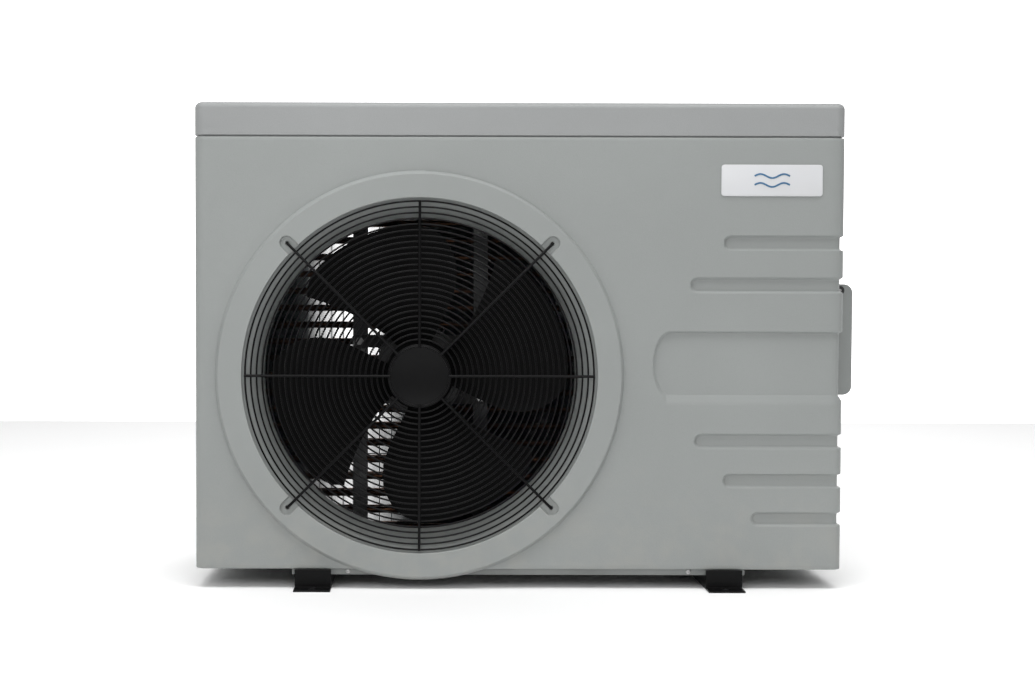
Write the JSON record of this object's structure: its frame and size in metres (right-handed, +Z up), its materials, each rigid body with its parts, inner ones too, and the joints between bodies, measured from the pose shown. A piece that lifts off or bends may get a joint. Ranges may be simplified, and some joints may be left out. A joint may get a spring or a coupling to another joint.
{
  "type": "pool heat pump",
  "caption": "Boxy air-source pool heat pump with a wide axial fan behind a round wire guard, stepped grooves, side control cover and rear water unions.",
  "frame": {"origin": "on the ground at the centre of the four foot bolt holes", "axes": "+Z up, fan side faces -Y, control cover on the +X side, water unions on the +Y side"},
  "size_m": [0.8812, 0.428, 0.637],
  "materials": {
    "panel_grey": "fine grained matt",
    "lid_grey": "fine grained matt",
    "pan_grey": "powder coated",
    "black_steel": "satin powder coat",
    "zinc": "zinc plated",
    "badge_white": "semi gloss",
    "fan_black": "moulded",
    "shaft_steel": "ground",
    "motor_black": "semi gloss paint",
    "galvanised": "galvanised",
    "fin_blue": "coated foil",
    "copper": "drawn copper",
    "brass": "machined",
    "rubber_black": "matt",
    "black_plastic": "moulded",
    "shell_white": "moulded",
    "board_green": "lacquered",
    "display_glass": "clear",
    "button_red": "soft touch",
    "button_grey": "soft touch"
  },
  "bodies": {
    "root": {"front_panel": "panel_grey", "right_panel": "panel_grey", "left_panel": "panel_grey", "rear_panel": "panel_grey", "top_cover": "lid_grey", "base_pan": "pan_grey", "coil_guard": "black_steel", "foot_left": "black_steel", "foot_right": "black_steel", "foot_screws": "zinc", "pan_screws": "zinc", "casing_screws": "zinc", "badge": "badge_white", "fan_guard": "black_steel", "fan_motor": "motor_black", "motor_bracket": "galvanised", "motor_bolts": "zinc", "evaporator_fins": "fin_blue", "coil_tubes": "copper", "coil_end_plates": "galvanised", "partition": "galvanised", "compressor": "motor_black", "compressor_grommets": "rubber_black", "compressor_bolts": "zinc", "terminal_cap": "black_plastic", "accumulator": "motor_black", "four_way_valve": "brass", "discharge_pipe": "copper", "suction_pipe": "copper", "gas_pipe": "copper", "coil_pipe": "copper", "liquid_pipe": "copper", "filter_drier": "brass", "expansion_valve": "brass", "heat_exchanger": "shell_white", "exchanger_straps": "galvanised", "water_pipe_inlet": "black_plastic", "water_pipe_outlet": "black_plastic", "union_seals": "rubber_black", "union_tail_inlet": "black_plastic", "union_tail_outlet": "black_plastic", "flow_switch": "shell_white", "electrical_box": "galvanised", "circuit_board": "board_green", "power_parts": "black_plastic", "cable_gland": "black_plastic", "drain_spigot": "black_plastic", "control_panel": "black_plastic", "display_window": "display_glass", "hinge_pin": "zinc"},
    "fan_rotor": {"fan": "fan_black", "fan_nut": "zinc", "motor_shaft": "shaft_steel"},
    "nut_inlet": {"union_nut_inlet": "black_plastic"},
    "nut_outlet": {"union_nut_outlet": "black_plastic"},
    "flap": {"control_flap": "panel_grey"},
    "power_key": {"button_power": "button_red"},
    "mode_key": {"button_mode": "button_grey"},
    "up_key": {"button_up": "button_grey"},
    "down_key": {"button_down": "button_grey"}
  },
  "joints": [
    {"name": "fan_spin", "type": "hinge", "parent": "root", "child": "fan_rotor", "pos_m": [-0.1305, -0.1, 0.28], "axis": [0, -1, 0], "continuous": true},
    {"name": "inlet_nut_turn", "type": "hinge", "parent": "root", "child": "nut_inlet", "pos_m": [0.33, 0.185, 0.115], "axis": [0, 1, 0], "continuous": true},
    {"name": "outlet_nut_turn", "type": "hinge", "parent": "root", "child": "nut_outlet", "pos_m": [0.33, 0.185, 0.345], "axis": [0, 1, 0], "continuous": true},
    {"name": "flap_hinge", "type": "hinge", "parent": "root", "child": "flap", "pos_m": [0.4357, -0.023, 0.3935], "axis": [0, -1, 0], "range_deg": [0, 90]},
    {"name": "power_press", "type": "slide", "parent": "root", "child": "power_key", "axis": [-1, 0, 0], "range_m": [0, 0.0008], "stiffness_N_per_m": 400},
    {"name": "mode_press", "type": "slide", "parent": "root", "child": "mode_key", "axis": [-1, 0, 0], "range_m": [0, 0.0008], "stiffness_N_per_m": 400},
    {"name": "up_press", "type": "slide", "parent": "root", "child": "up_key", "axis": [-1, 0, 0], "range_m": [0, 0.0008], "stiffness_N_per_m": 400},
    {"name": "down_press", "type": "slide", "parent": "root", "child": "down_key", "axis": [-1, 0, 0], "range_m": [0, 0.0008], "stiffness_N_per_m": 400}
  ]
}
